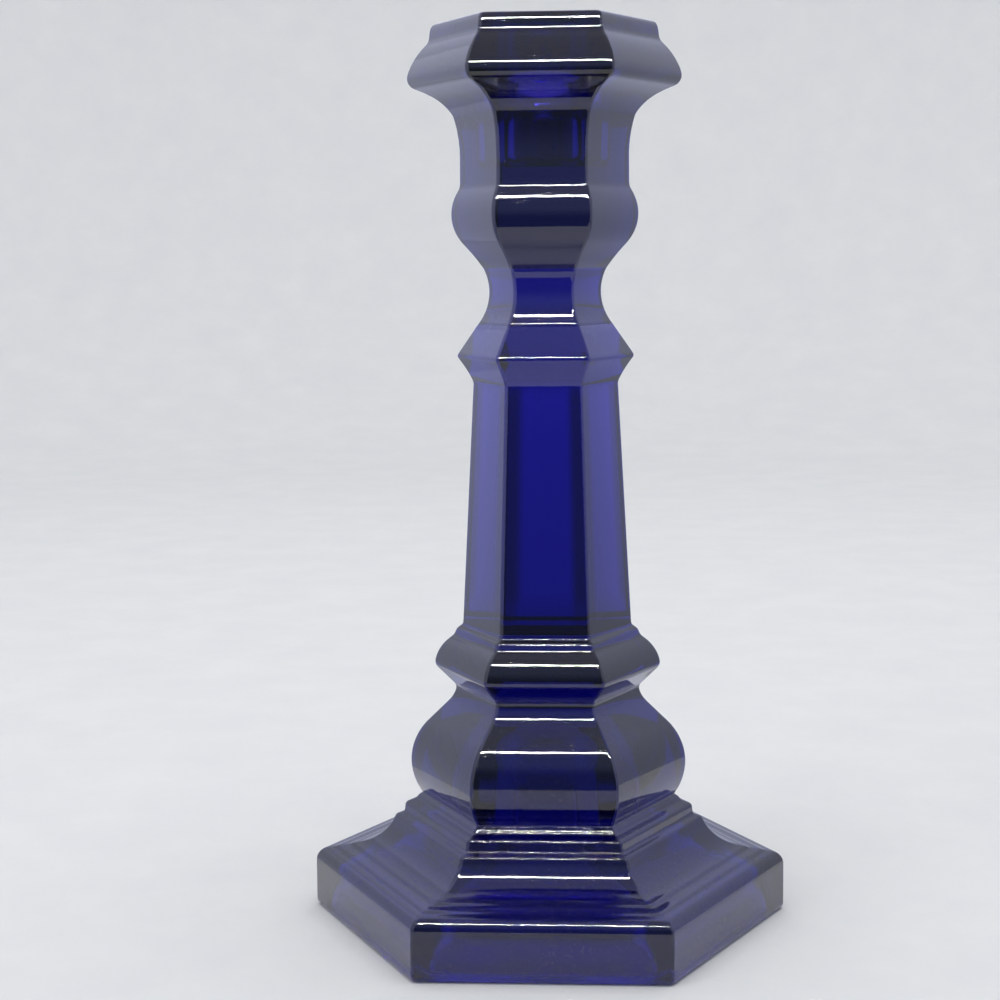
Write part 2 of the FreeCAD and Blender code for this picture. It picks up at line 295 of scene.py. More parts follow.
class Pressing:
    """The hand work that turns an outline into a six-sided glass mesh."""

    def __init__(self, name: str) -> None:
        """Start an empty pressing under the finished piece's name."""
        self.name = name
        self.piece: bpy.types.Object | None = None

    def first_ring(self, half: float, level: float, sides: int) -> None:
        """Add the first ring, closed by a face, and go into edit mode.

        Args:
            half: half a hexagon's distance across flats, or a round ring's radius, in mm.
            level: its height, in mm.
            sides: 6 puts flats on +Y and -Y; more than 6 is a round ring.
        """
        bpy.ops.object.select_all(action="DESELECT")
        hexagonal = sides == SIDES
        bpy.ops.mesh.primitive_circle_add(
            vertices=sides,
            radius=half * (CORNER_STRETCH if hexagonal else 1) * MM,
            fill_type="NGON",
            location=(0, 0, level * MM),
            rotation=(0, 0, math.pi / 2 if hexagonal else 0),
        )
        self.piece = bpy.context.object
        self.piece.name = self.name
        self.piece.data.name = self.name
        bpy.ops.object.transform_apply(location=True, rotation=True, scale=True)
        bpy.ops.object.mode_set(mode="EDIT")
        bpy.ops.mesh.select_all(action="SELECT")

    def raise_ring(self, before: Point, after: Point) -> None:
        """Extrude the selected ring to the next one on the outline.

        Args:
            before: half width and height of the selected ring, in mm.
            after: half width and height of the next, in mm.
        """
        bpy.ops.mesh.extrude_region_move(
            TRANSFORM_OT_translate={"value": (0, 0, (after[1] - before[1]) * MM)}
        )
        scale = after[0] / before[0]
        bpy.ops.transform.resize(value=(scale, scale, 1), center_override=(0, 0, after[1] * MM))

    def raise_outline(self, outline: Outline, sides: int = SIDES) -> None:
        """Raise every ring of an outline from its first point.

        Args:
            outline: the moulding to follow.
            sides: how many sides each ring has.
        """
        rings = outline.rings()
        self.first_ring(*rings[0], sides)
        for before, after in zip(rings, rings[1:]):
            self.raise_ring(before, after)
        bpy.ops.object.mode_set(mode="OBJECT")

    def open_top(self) -> None:
        """Take away the selected face, which closes the last ring raised."""
        bpy.ops.object.mode_set(mode="EDIT")
        bpy.ops.mesh.select_mode(type="FACE")
        bpy.ops.mesh.delete(type="ONLY_FACE")
        bpy.ops.object.mode_set(mode="OBJECT")

    def open_mouth(self) -> None:
        """Take away the face that closes the first ring, the highest of a bore."""
        self.select_none("FACE")
        caps = [face for face in self.piece.data.polygons if len(face.vertices) > 4]
        max(caps, key=lambda face: face.center.z).select = True
        self.open_top()

    def join_ring_to_ring(self, other: bpy.types.Object) -> None:
        """Join another open shell to this one and bridge the two open rings.

        Args:
            other: the other shell.
        """
        bpy.ops.object.select_all(action="DESELECT")
        other.select_set(True)
        self.piece.select_set(True)
        bpy.context.view_layer.objects.active = self.piece
        bpy.ops.object.join()
        bpy.ops.object.mode_set(mode="EDIT")
        bpy.ops.mesh.select_mode(type="EDGE")
        bpy.ops.mesh.select_all(action="DESELECT")
        bpy.ops.mesh.select_non_manifold(extend=False)
        bpy.ops.mesh.bridge_edge_loops()
        bpy.ops.object.mode_set(mode="OBJECT")

    def select_none(self, kind: str) -> None:
        """Clear the selection, ready for parts of one kind to be picked in object mode.

        Args:
            kind: VERT, EDGE or FACE.
        """
        bpy.ops.object.mode_set(mode="EDIT")
        bpy.ops.mesh.select_mode(type=kind)
        bpy.ops.mesh.select_all(action="DESELECT")
        bpy.ops.object.mode_set(mode="OBJECT")

    def select_arrises(self, bands: list[Band]) -> int:
        """Select the six chains of edges that climb the corners, wherever a band holds them.

        Args:
            bands: the regions of the outline to take.

        Returns:
            How many edges were selected.
        """
        self.select_none("EDGE")
        mesh = self.piece.data
        count = 0
        for edge in mesh.edges:
            ends = [mesh.vertices[index].co for index in edge.vertices]
            if all(self.on_corner(end) for end in ends) and self.same_bearing(*ends):
                if any(all(band.holds(end) for end in ends) for band in bands):
                    edge.select = True
                    count += 1
        bpy.ops.object.mode_set(mode="EDIT")
        return count

    def on_corner(self, point: mathutils.Vector) -> bool:
        """Say whether a point lies on one of the six corner planes of the hexagon."""
        bearing = math.degrees(math.atan2(point.y, point.x)) % (360 / SIDES)
        return min(bearing, 360 / SIDES - bearing) < 0.01

    def same_bearing(self, one: mathutils.Vector, other: mathutils.Vector) -> bool:
        """Say whether two points lie on the same side of the axis, one above or beyond the other."""
        return one.x * other.x + one.y * other.y > 0.9 * one.xy.length * other.xy.length

    def round_arrises(self, bands: list[Band], radius: float, segments: int = 4) -> None:
        """Round the corner chains to an even radius.

        Args:
            bands: the regions of the outline to take.
            radius: how wide the rounding is, in mm.
            segments: how many faces go round it.
        """
        count = self.select_arrises(bands)
        bpy.ops.mesh.bevel(
            offset_type="ABSOLUTE",
            offset=radius * MM,
            segments=segments,
            profile=0.5,
            affect="EDGES",
            clamp_overlap=False,
            loop_slide=True,
        )
        bpy.ops.object.mode_set(mode="OBJECT")
        log.info("%s: %d corner edges rounded to %.2f mm", self.name, count, radius)

    def inside_out(self) -> bool:
        """Say whether the faces look into the glass.

        Returns:
            Whether the volume they hold comes out negative.
        """
        volume = 0.0
        for face in self.piece.data.polygons:
            volume += face.center.dot(face.normal) * face.area
        return volume < 0

    def finish(self) -> bpy.types.Object:
        """Merge doubles, turn every face outwards, shade smooth and keep the broad flats flat.

        Returns:
            The finished piece.
        """
        bpy.ops.object.mode_set(mode="EDIT")
        bpy.ops.mesh.select_mode(type="VERT")
        bpy.ops.mesh.select_all(action="SELECT")
        bpy.ops.mesh.remove_doubles(threshold=DOUBLES * MM)
        bpy.ops.mesh.normals_make_consistent(inside=False)
        bpy.ops.object.mode_set(mode="OBJECT")
        if self.inside_out():
            bpy.ops.object.mode_set(mode="EDIT")
            bpy.ops.mesh.flip_normals()
            bpy.ops.object.mode_set(mode="OBJECT")
        bpy.ops.object.shade_smooth()
        weighted = self.piece.modifiers.new("flats stay flat", "WEIGHTED_NORMAL")
        weighted.mode = "FACE_AREA"
        weighted.weight = 50
        bpy.context.view_layer.objects.active = self.piece
        bpy.ops.object.modifier_apply(modifier=weighted.name)
        bpy.ops.object.select_all(action="DESELECT")
        return self.piece


@dataclass
class GlassPart:
    """What the three glass sub-assemblies share. Sizes in mm."""

    node: str = ""
    arris: float = 0.75
    pieces: list[bpy.types.Object] = field(default_factory=list)

    @property
    def bottom(self) -> float:
        """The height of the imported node's lowest point."""
        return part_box(self.node)[0].z / MM

    @property
    def top(self) -> float:
        """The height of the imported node's highest point."""
        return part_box(self.node)[1].z / MM

    def cap(self, half: float) -> tuple[float, ...]:
        """Give the half widths of the rings that close a joint face, from its edge inwards."""
        return (half - 0.5, half - 1.2, 6.0, 0.6)

    def dress(self, finish: "CobaltGlass") -> None:
        """Put the glass on each piece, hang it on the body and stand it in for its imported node.

        Args:
            finish: the glass it is made of.
        """
        for piece in self.pieces:
            piece.data.materials.clear()
            piece.data.materials.append(finish.material(f"{self.node}_cobalt"))
            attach(piece, BODY)
            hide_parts(self.node)
            log.info("%s: %d faces", piece.name, len(piece.data.polygons))


@dataclass
class StandardAndFoot(GlassPart):
    """The lower pressing: hollow stepped foot, knop, collar, column and upper collar. Sizes in mm."""

    node: str = "standard_and_foot"
    # band of the foot, from its seat to its shelf
    seat_round: float = 1.5
    band_lean: float = 0.05
    shoulder_round: float = 3.1
    foot_top: float = 15.8
    fillet_setback: float = 1.3
    fillet_run: float = 0.5
    fillet_rise: float = 0.4
    shelf_end: Point = (45.6, 16.55)
    # cove, and the ring above it
    cove_foot: Point = (45.1, 17.0)
    ledge: Point = (35.1, 25.0)
    ring: tuple[Point, ...] = ((33.1, 25.7), (32.8, 28.3), (30.2, 29.5), (29.8, 30.4))
    # lower knop and the neck over it
    knop_foot: Point = (28.7, 30.9)
    knop_shoulder: Point = (27.8, 50.0)
    knop_slope: Point = (22.7, 55.7)
    neck: Point = (20.8, 59.4)
    neck_top: Point = (20.95, 60.3)
    # lower collar
    collar_under: Point = (25.3, 65.2)
    collar_edge: Point = (25.5, 66.8)
    collar_over: Point = (21.4, 73.2)
    beads: tuple[Point, ...] = ((20.95, 73.9), (20.6, 75.1))
    # column and upper collar
    column_foot: Point = (19.1, 76.3)
    column_top: Point = (16.15, 139.2)
    high_collar_under: Point = (19.7, 145.7)
    high_collar_edge: Point = (19.65, 146.2)
    joint_half: float = 15.0
    # hollow left by the plunger, from its crown down
    crown_start: Point = (0.6, 44.4)
    crown: Point = (5.2, 43.8)
    shaft_top: Point = (11.2, 39.0)
    shaft_foot: Point = (12.6, 31.5)
    bell_top: Point = (16.2, 26.0)
    bell_side: Point = (27.5, 17.2)
    bell_foot: Point = (36.0, 10.6)
    wall: float = 8.6
    wall_foot: float = 3.2
    mouth_spread: float = 0.5
    mouth_round: float = 1.0
    hollow_arris: float = 3.0

    def hollow_stretches(self, mouth: float) -> list[Stretch]:
        """Follow the hollow from its crown down to the seat.

        Args:
            mouth: half the hollow's width across flats at the wall's foot, in mm.

        Returns:
            The stretches, the last of which ends on the table.
        """
        return [
            Stretch(*self.crown, Curve.HOLLOW, 14),
            Stretch(*self.shaft_top, Curve.HOLLOW, 52),
            Stretch(*self.shaft_foot),
            Stretch(*self.bell_top, Curve.BULGE, 40),
            Stretch(*self.bell_side, Curve.BULGE, 12),
            Stretch(*self.bell_foot, Curve.HOLLOW, 8),
            Stretch(mouth, self.wall_foot, Curve.HOLLOW, 52),
            Stretch(mouth + self.mouth_spread, self.mouth_round),
            Stretch(mouth + self.mouth_spread + self.mouth_round, 0.0, Curve.BULGE, 70),
        ]

    def foot_stretches(self, half: float) -> list[Stretch]:
        """Follow the foot's band, its shelf, the cove and the ring.

        Args:
            half: half the foot's width across flats, in mm.

        Returns:
            The stretches, from the seat to the ring's top.
        """
        shelf = half - self.shoulder_round
        fillet = shelf - self.fillet_setback
        return [
            Stretch(half - self.seat_round, 0.0),
            Stretch(half, self.seat_round, Curve.BULGE, 88),
            Stretch(half - self.band_lean, self.foot_top - self.shoulder_round),
            Stretch(shelf, self.foot_top - 0.1, Curve.BULGE, 80),
            Stretch(fillet, self.foot_top + 0.05),
            Stretch(fillet - self.fillet_run, self.foot_top + self.fillet_rise),
            Stretch(*self.shelf_end),
            Stretch(*self.cove_foot),
            Stretch(*self.ledge, Curve.HOLLOW, 70),
            *(Stretch(*point) for point in self.ring),
        ]

    def stem_stretches(self) -> list[Stretch]:
        """Follow the knop, the lower collar, the column and the upper collar.

        Returns:
            The stretches, from the knop's foot to the upper joint.
        """
        return [
            Stretch(*self.knop_foot),
            Stretch(*self.knop_shoulder, Curve.BULGE, 71),
            Stretch(*self.knop_slope),
            Stretch(*self.neck, Curve.HOLLOW, 32),
            Stretch(*self.neck_top),
            Stretch(*self.collar_under),
            Stretch(*self.collar_edge, Curve.BULGE, 40),
            Stretch(*self.collar_over, Curve.BULGE, 44),
            *(Stretch(*point) for point in self.beads),
            Stretch(*self.column_foot),
            Stretch(*self.column_top),
            Stretch(*self.high_collar_under, Curve.HOLLOW, 14),
            Stretch(*self.high_collar_edge),
            Stretch(self.joint_half, self.top + FUSED_OVERLAP),
        ]

    def outline(self) -> Outline:
        """Join the stretches into the closed outline.

        Returns:
            The outline, from the hollow's crown round the foot and up to the joint.
        """
        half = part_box(self.node)[1].y / MM
        return Outline(
            start=self.crown_start,
            stretches=[
                *self.hollow_stretches(half - self.wall),
                *self.foot_stretches(half),
                *self.stem_stretches(),
            ],
            last_cap=self.cap(self.joint_half),
        )

    def build(self) -> None:
        """Raise the rings and round the corners, outside and in the hollow."""
        pressing = Pressing(self.node + "_glass")
        pressing.raise_outline(self.outline())
        skin = [
            Band(highest=16.5, inside=46.5),
            Band(lowest=15.5, highest=31.5, inside=28.3),
            Band(lowest=30.0, inside=self.joint_half - 0.6),
        ]
        pressing.round_arrises(skin, self.arris)
        hollow = [
            Band(lowest=1.0, highest=15.9, inside=27.0, outside=46.0),
            Band(lowest=15.0, highest=30.0, inside=11.6, outside=28.5),
            Band(lowest=29.0, highest=40.0, inside=11.6, outside=16.0),
        ]
        pressing.round_arrises(hollow, self.hollow_arris)
        self.pieces = [pressing.finish()]


@dataclass
class JoiningWafer(GlassPart):
    """The waisted neck of glass that joins the two pressings while hot. Sizes in mm."""

    node: str = "joining_wafer"
    low_half: float = 15.0
    high_half: float = 13.7
    waist_turn: float = 58.0
    waist_inside: float = 12.35

    def outline(self) -> Outline:
        """Draw the waist between its two flat joint faces.

        Returns:
            The closed outline, from the lower joint to the upper.
        """
        top = self.top + FUSED_OVERLAP
        return Outline(
            start=(self.low_half, self.bottom),
            stretches=[Stretch(self.high_half, top, Curve.HOLLOW, self.waist_turn)],
            first_cap=self.cap(self.low_half)[::-1],
            last_cap=self.cap(self.high_half),
            polish=0.0,
        )

    def build(self) -> None:
        """Raise the rings and round the corners."""
        pressing = Pressing(self.node + "_glass")
        pressing.raise_outline(self.outline())
        pressing.round_arrises([Band(inside=self.waist_inside)], self.arris)
        self.pieces = [pressing.finish()]


@dataclass
class CandleSocket(GlassPart):
    """The upper pressing: knop, six-sided cup, flared rim and the candle bore. Sizes in mm."""

    node: str = "candle_socket"
    # knop under the cup
    joint_half: float = 13.7
    knop_foot: Point = (18.0, 174.0)
    knop_top: Point = (19.05, 187.5)
    cup_foot: Point = (18.65, 189.0)
    cup_waist: Point = (18.6, 196.4)
    # flared rim
    spread: Point = (20.0, 206.0)
    flare: Point = (24.9, 211.0)
    rim_under: Point = (28.6, 212.8)
    rim: Point = (29.95, 215.2)
    rim_over: Point = (29.8, 216.3)
    shoulder: Point = (25.4, 223.7)
    lip_foot: Point = (24.97, 225.2)
    lip_half: float = 24.65
    lip_round: float = 1.2
    land_half: float = 22.4
    # round dish in the lip and the bore
    dish_edge: float = 21.4
    dish_radius: float = 20.5
    dish_slope: float = 2.6
    dish_fall: float = 0.2
    dish_depth: float = 1.8
    mouth_flare: float = 3.1
    mouth_depth: float = 6.0
    bore_radius: float = 11.4
    bore_draft: float = 0.15
    bore_corner: float = 3.0
    bore_depth: float = 36.0
    floor_start: float = 0.5
    round_sides: int = 84
    near_black_top: float = 212.5

    def outline(self) -> Outline:
        """Draw the outside.

        Returns:
            The outline, from the joint up over the rim to the flat land of the lip.
        """
        return Outline(
            start=(self.joint_half, self.bottom),
            first_cap=self.cap(self.joint_half)[::-1],
            stretches=[
                Stretch(*self.knop_foot, Curve.HOLLOW, 9),
                Stretch(*self.knop_top, Curve.BULGE, 69),
                Stretch(*self.cup_foot, Curve.HOLLOW, 30),
                Stretch(*self.cup_waist),
                Stretch(*self.spread, Curve.HOLLOW, 15),
                Stretch(*self.flare, Curve.HOLLOW, 30),
                Stretch(*self.rim_under, Curve.HOLLOW, 9),
                Stretch(*self.rim, Curve.BULGE, 56),
                Stretch(*self.rim_over, Curve.BULGE, 8),
                Stretch(*self.shoulder, Curve.BULGE, 28),
                Stretch(*self.lip_foot, Curve.HOLLOW, 24),
                Stretch(self.lip_half, self.top - self.lip_round, Curve.BULGE, 18),
                Stretch(self.lip_half - self.lip_round, self.top, Curve.BULGE, 74),
                Stretch(self.land_half, self.top),
            ],
        )

    def bore(self) -> Outline:
        """Draw the inside.

        Returns:
            The round outline of the dish, the flared mouth and the bore, down to its floor.
        """
        dish = self.top - self.dish_depth
        floor = self.top - self.bore_depth
        radius = self.bore_radius
        return Outline(
            start=(self.dish_edge, self.top),
            stretches=[
                Stretch(self.dish_radius, self.top),
                Stretch(self.dish_radius - self.dish_slope, dish + self.dish_fall, Curve.HOLLOW, 30),
                Stretch(radius + self.mouth_flare, dish),
                Stretch(radius, dish - self.mouth_depth, Curve.BULGE, 34),
                Stretch(radius - self.bore_draft, floor + self.bore_corner),
                Stretch(radius - self.bore_corner, floor, Curve.HOLLOW, 84),
                Stretch(self.floor_start, floor),
            ],
        )

    def build(self) -> None:
        """Raise the outside, round its corners, raise the bore and bridge the two across the lip."""
        pressing = Pressing(self.node + "_glass")
        pressing.raise_outline(self.outline())
        pressing.open_top()
        pressing.round_arrises([Band(inside=self.joint_half - 0.6)], self.arris)
        inner = Pressing(self.node + "_bore")
        inner.raise_outline(self.bore(), self.round_sides)
        inner.open_mouth()
        pressing.join_ring_to_ring(inner.piece)
        self.pieces = [pressing.finish()]


class NodeSheet:
    """A node tree being laid out, with short ways to add and join its nodes."""

    def __init__(self, tree: bpy.types.NodeTree) -> None:
        """Start on a material's or a group's node tree."""
        self.tree = tree

    def add(
        self, kind: str, label: str = "", inputs: dict[str, object] | None = None, **settings: object
    ) -> bpy.types.Node:
        """Add a node.

        Args:
            kind: its type, without the ShaderNode in front.
            label: what it does, in a word or two.
            inputs: a value or another node's output for each input that is set.
            settings: properties to set on it.

        Returns:
            The node.
        """
        node = self.tree.nodes.new(kind if kind.startswith("Node") else "ShaderNode" + kind)
        node.label = label
        for name, value in settings.items():
            setattr(node, name, value)
        for name, value in (inputs or {}).items():
            self.put(node.inputs[name], value)
        return node

    def put(self, target: Socket, value: object) -> None:
        """Set an input to a value or link it to an output.

        Args:
            target: the input.
            value: the value or the output.
        """
        if isinstance(value, Socket):
            self.tree.links.new(value, target)
        else:
            target.default_value = value

    def math(self, operation: str, one: object, other: object = 0.0, clamp: bool = False) -> Socket:
        """Add a Math node.

        Args:
            operation: the operation's name.
            one: its first input.
            other: its second.
            clamp: whether the answer is kept between 0 and 1.

        Returns:
            Its output.
        """
        node = self.add("Math", operation=operation, use_clamp=clamp)
        self.put(node.inputs[0], one)
        self.put(node.inputs[1], other)
        return node.outputs[0]

    def fade(self, value: object, low: float, high: float) -> Socket:
        """Turn a value into 0 below low, 1 above high and a smooth rise between them."""
        span = {"Value": value, "From Min": low, "From Max": high}
        return self.add("MapRange", inputs=span, interpolation_type="SMOOTHSTEP").outputs["Result"]

    def noise(self, place: object, scale: object, detail: float, roughness: float = 0.5) -> Socket:
        """Add a Noise Texture at a place and give its factor."""
        look = {"Vector": place, "Scale": scale, "Detail": detail, "Roughness": roughness}
        return self.add("TexNoise", inputs=look).outputs["Fac"]

    def axes(self, place: Socket) -> list[Socket]:
        """Split a place into its X, Y and Z."""
        return list(self.add("SeparateXYZ", inputs={"Vector": place}).outputs)

    def blend(self, share: object, one: object, other: object, label: str) -> Socket:
        """Blend two colours.

        Args:
            share: how much of the other shows.
            one: the first colour, or an output that gives it.
            other: the second.
            label: what the blend is for.

        Returns:
            The blended colour.
        """
        mix = self.add("Mix", label, {"Factor": share}, data_type="RGBA")
        colours = [socket for socket in mix.inputs if socket.type == "RGBA"]
        self.put(colours[0], one)
        self.put(colours[1], other)
        return [socket for socket in mix.outputs if socket.type == "RGBA"][0]

    def effect(self, name: str, place: Socket, **settings: object) -> bpy.types.Node:
        """Place one of the glass surface's shared groups.

        Args:
            name: the group's name.
            place: object coordinates.
            settings: its other inputs, in small letters with underscores.

        Returns:
            The group node.
        """
        inputs = {title.replace("_", " ").title(): value for title, value in settings.items()}
        return self.add(
            "Group", name.replace("_", " "), {"Place": place, **inputs}, node_tree=GlassSurface.group(name)
        )


class GlassSurface:
    """The shared node groups of the glass: what pressing, polishing and handling leave on its skin, the
    painted shade along the arrises and the near-black band in the bore.
    """

    _made: dict[str, bpy.types.NodeTree] = {}

    @classmethod
    def group(cls, name: str) -> bpy.types.NodeTree:
        """Give a group by name, built the first time it is asked for.

        Args:
            name: the name, in small letters with underscores.

        Returns:
            The group's node tree.
        """
        if name not in cls._made:
            cls._made[name] = getattr(cls, "make_" + name)()
        return cls._made[name]

    @staticmethod
    def start(
        name: str, inputs: dict[str, float], outputs: list[str]
    ) -> tuple[NodeSheet, bpy.types.bpy_prop_collection, bpy.types.bpy_prop_collection]:
        """Start a group with a place input, plain inputs and plain outputs.

        Args:
            name: the group's name.
            inputs: each number it takes, with its default.
            outputs: each number it gives.

        Returns:
            The sheet, what the group is given and what it has to give.
        """
        tree = bpy.data.node_groups.new(name, "ShaderNodeTree")
        tree.interface.new_socket("Place", in_out="INPUT", socket_type="NodeSocketVector")
        for title, value in inputs.items():
            socket = tree.interface.new_socket(title, in_out="INPUT", socket_type="NodeSocketFloat")
            socket.default_value = value
        for title in outputs:
            tree.interface.new_socket(title, in_out="OUTPUT", socket_type="NodeSocketFloat")
        sheet = NodeSheet(tree)
        return sheet, sheet.add("NodeGroupInput").outputs, sheet.add("NodeGroupOutput").inputs

    @classmethod
    def make_pressed_waves(cls) -> bpy.types.NodeTree:
        """Lay out the height, in mm, of the slow waves and the fine ripple that a mould leaves.

        Returns:
            The group's node tree.
        """
        numbers = {"Wave Height": 0.02, "Wave Scale": 45.0, "Ripple Height": 0.002, "Ripple Scale": 260.0}
        sheet, given, result = cls.start("Pressed waves", numbers, ["Height"])
        wave = sheet.noise(given["Place"], given["Wave Scale"], 1.0)
        ripple = sheet.noise(given["Place"], given["Ripple Scale"], 2.0)
        slow = sheet.math("MULTIPLY", wave, given["Wave Height"])
        fine = sheet.math("MULTIPLY", ripple, given["Ripple Height"])
        sheet.put(result["Height"], sheet.math("ADD", slow, fine))
        return sheet.tree

    @classmethod
    def make_handling(cls) -> bpy.types.NodeTree:
        """Lay out where dust, fingers and the table have dulled the surface.

        Returns:
            The group's node tree, which gives a roughness and a mask for dust.
        """
        numbers = {"Clean": 0.02, "Dull": 0.12, "Seat Level": 0.0, "Seat Reach": 0.004}
        sheet, given, result = cls.start("Handling and wear", numbers, ["Roughness", "Dust"])
        blotch = sheet.noise(given["Place"], 38.0, 4.0, 0.6)
        speck = sheet.noise(given["Place"], 900.0, 2.0, 0.7)
        patch = sheet.fade(blotch, 0.5, 0.72)
        dust = sheet.math("MULTIPLY", sheet.fade(speck, 0.58, 0.7), sheet.math("ADD", patch, 0.25), True)
        above = sheet.math("SUBTRACT", sheet.axes(given["Place"])[2], given["Seat Level"])
        near = sheet.math("DIVIDE", above, given["Seat Reach"], True)
        seat = sheet.math("SUBTRACT", 1.0, near, True)
        share = sheet.math("ADD", sheet.math("MULTIPLY", patch, 0.3), sheet.math("MULTIPLY", seat, 0.6), True)
        span = sheet.math("SUBTRACT", given["Dull"], given["Clean"])
        rough = sheet.math("ADD", given["Clean"], sheet.math("MULTIPLY", span, share))
        sheet.put(result["Roughness"], rough)
        sheet.put(result["Dust"], dust)
        return sheet.tree

    @classmethod
    def make_mould_chill(cls) -> bpy.types.NodeTree:
        """Lay out where the glass froze against a shaped mould.

        Returns:
            The group's node tree. Chill is 0 along the plain column and 1 above and below it. Ripple is the
            share of the fine ripple, which is least on the foot.
        """
        numbers = {"Column Foot": 0.078, "Column Top": 0.138, "Blend": 0.003, "Foot Top": 0.028}
        sheet, given, result = cls.start("Mould chill", numbers, ["Chill", "Ripple"])
        level = sheet.axes(given["Place"])[2]
        blend = given["Blend"]
        below = sheet.math("DIVIDE", sheet.math("SUBTRACT", given["Column Foot"], level), blend, True)
        above = sheet.math("DIVIDE", sheet.math("SUBTRACT", level, given["Column Top"]), blend, True)
        chill = sheet.math("ADD", below, above, True)
        sheet.put(result["Chill"], chill)
        over = sheet.math("DIVIDE", sheet.math("SUBTRACT", level, given["Foot Top"]), blend, True)
        calm = sheet.math("ADD", sheet.math("MULTIPLY", over, 0.92), 0.08)
        sheet.put(result["Ripple"], sheet.math("MULTIPLY", calm, sheet.math("ADD", chill, 0.1)))
        return sheet.tree

    @classmethod
    def make_plunger_skin(cls) -> bpy.types.NodeTree:
        """Lay out where the plunger left the hollow less smooth than the outside.

        Returns:
            The group's node tree, which gives a mask.
        """
        sheet, given, result = cls.start("Plunger skin", {"Seat Half": 0.048, "Taper": 0.75}, ["Frost"])
        x, y, z = sheet.axes(given["Place"])
        reach = sheet.math("ABSOLUTE", y)
        for side in (1, -1):
            across = sheet.math("MULTIPLY", x, math.cos(math.pi / SIDES))
            along = sheet.math("MULTIPLY", y, side * math.sin(math.pi / SIDES))
            reach = sheet.math("MAXIMUM", reach, sheet.math("ABSOLUTE", sheet.math("ADD", across, along)))
        limit = sheet.math("SUBTRACT", given["Seat Half"], sheet.math("MULTIPLY", z, given["Taper"]))
        sheet.put(result["Frost"], sheet.math("LESS_THAN", reach, limit))
        return sheet.tree

    @classmethod
    def make_arris_shade(cls) -> bpy.types.NodeTree:
        """Lay out how near a place is to one of the six arrises, seen from the axis.

        Returns:
            The group's node tree, which gives 1 along the arrises and 0 on the flats.
        """
        sheet, given, result = cls.start("Arris shade", {}, ["Shade"])
        x, y, _ = sheet.axes(given["Place"])
        away = sheet.math("PINGPONG", sheet.math("ARCTAN2", y, x), math.pi / SIDES)
        middle = sheet.fade(away, math.radians(6), math.radians(13))
        sheet.put(result["Shade"], sheet.math("SUBTRACT", 1.0, middle, True))
        return sheet.tree

    @classmethod
    def make_bore_near_black(cls) -> bpy.types.NodeTree:
        """Lay out a near-black band on the wall of the bore, from a ragged top edge down to just above its
        floor.

        Returns:
            The group's node tree, which gives a mask.
        """
        numbers = {"Radius": 0.0117, "Top": 0.21, "Reach": 0.0006, "Deepest": 0.19}
        sheet, given, result = cls.start("Bore residue", numbers, ["Residue"])
        x, y, z = sheet.axes(given["Place"])
        flat = sheet.add("CombineXYZ", inputs={"X": x, "Y": y}).outputs[0]
        across = sheet.add("VectorMath", inputs={"Vector": flat}, operation="LENGTH").outputs["Value"]
        inside = sheet.math("LESS_THAN", sheet.math("SUBTRACT", across, given["Radius"]), given["Reach"])
        ragged = sheet.math("MULTIPLY", sheet.noise(given["Place"], 160.0, 3.0, 0.6), 0.01)
        edge = sheet.math("SUBTRACT", sheet.math("SUBTRACT", given["Top"], z), ragged)
        inner = sheet.math("MULTIPLY", inside, sheet.fade(edge, -0.003, 0.003))
        above_floor = sheet.math("GREATER_THAN", z, given["Deepest"])
        sheet.put(result["Residue"], sheet.math("MULTIPLY", inner, above_floor))
        return sheet.tree


